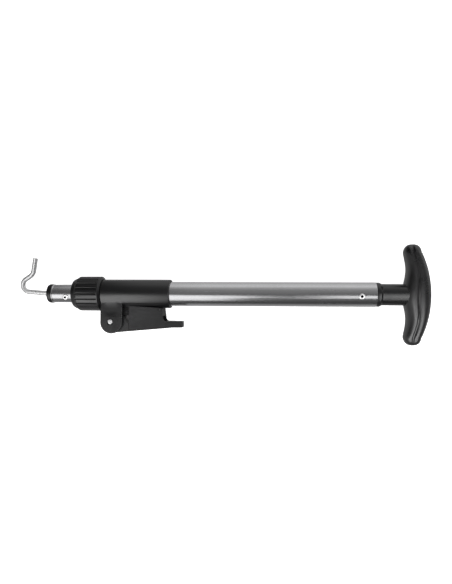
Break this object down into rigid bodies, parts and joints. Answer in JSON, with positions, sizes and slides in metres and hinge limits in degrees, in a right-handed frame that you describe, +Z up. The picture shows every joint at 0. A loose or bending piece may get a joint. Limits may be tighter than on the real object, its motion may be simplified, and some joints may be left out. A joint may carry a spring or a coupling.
{
  "type": "telescopic hook pole",
  "caption": "Telescopic aluminium pole with a T handle, a ribbed clamp collar, a cam lever and a bent wire hook, for reaching and pulling.",
  "frame": {"origin": "centre of the footprint, at the height of the surface the collar rests on", "axes": "+X along the pole from the hook to the T handle, +Y towards the hook's tip, +Z up"},
  "size_m": [0.4728, 0.114, 0.0398],
  "materials": {
    "tube_metal": "bright drawn tube with fine lengthwise lines",
    "body_plastic": "moulded, satin",
    "collar_plastic": "moulded, satin, ribbed",
    "pale_nylon": "plain nylon",
    "lever_plastic": "moulded, fine grain",
    "screw_steel": "zinc plated",
    "pin_steel": "bright",
    "spring_steel": "plain",
    "shoe_plastic": "plain nylon",
    "hook_steel": "bright plated wire",
    "plug_plastic": "moulded, satin",
    "rivet_metal": "bright",
    "core_plastic": "moulded, satin",
    "grip_rubber": "soft, fine grain"
  },
  "bodies": {
    "pole": {"outer_tube": "tube_metal", "clamp_body": "body_plastic", "lever_pin": "pin_steel", "pin_clip": "spring_steel", "shoe_spring": "spring_steel", "rear_rivet": "rivet_metal", "handle_core": "core_plastic", "handle_grip": "grip_rubber"},
    "collet_carrier": {"collet": "pale_nylon"},
    "collar": {"collar_nut": "collar_plastic"},
    "lever": {"lever_cam": "lever_plastic", "lever_handle": "lever_plastic", "handle_cross_pin": "screw_steel", "lever_screw_front": "screw_steel", "lever_screw_rear": "screw_steel"},
    "shoe": {"brake_shoe": "shoe_plastic"},
    "bush": {"guide_bush": "pale_nylon"},
    "inner": {"inner_tube": "tube_metal", "bush_stop_ring": "plug_plastic", "bush_end_cap": "plug_plastic", "hook_plug": "plug_plastic", "hook_wire": "hook_steel", "hook_washer": "screw_steel", "hook_nut": "screw_steel", "front_rivet": "rivet_metal"}
  },
  "joints": [
    {"name": "extension_slide", "type": "slide", "parent": "pole", "child": "bush", "axis": [-1, 0, 0], "range_m": [0, 0.2]},
    {"name": "tube_spin", "type": "hinge", "parent": "bush", "child": "inner", "pos_m": [0, 0, 0.01988], "axis": [1, 0, 0], "continuous": true},
    {"name": "collet_slide", "type": "slide", "parent": "pole", "child": "collet_carrier", "axis": [-1, 0, 0], "range_m": [0, 0.0023]},
    {"name": "collar_turn", "type": "hinge", "parent": "collet_carrier", "child": "collar", "pos_m": [0, 0, 0.01988], "axis": [1, 0, 0], "range_deg": [0, 270]},
    {"name": "lever_swing", "type": "hinge", "parent": "pole", "child": "lever", "pos_m": [-0.12506, -0.0319, 0.01988], "axis": [0, 0, -1], "range_deg": [0, 105]},
    {"name": "shoe_slide", "type": "slide", "parent": "pole", "child": "shoe", "axis": [0, -1, 0], "range_m": [0, 0.00141], "deforming": ["shoe_spring"]}
  ],
  "couplings": [
    {"joint": "collet_slide", "follows": "collar_turn", "m_per_rad": 0.00047746},
    {"joint": "shoe_slide", "follows": "lever_swing", "m_per_rad": 0.00076394}
  ]
}
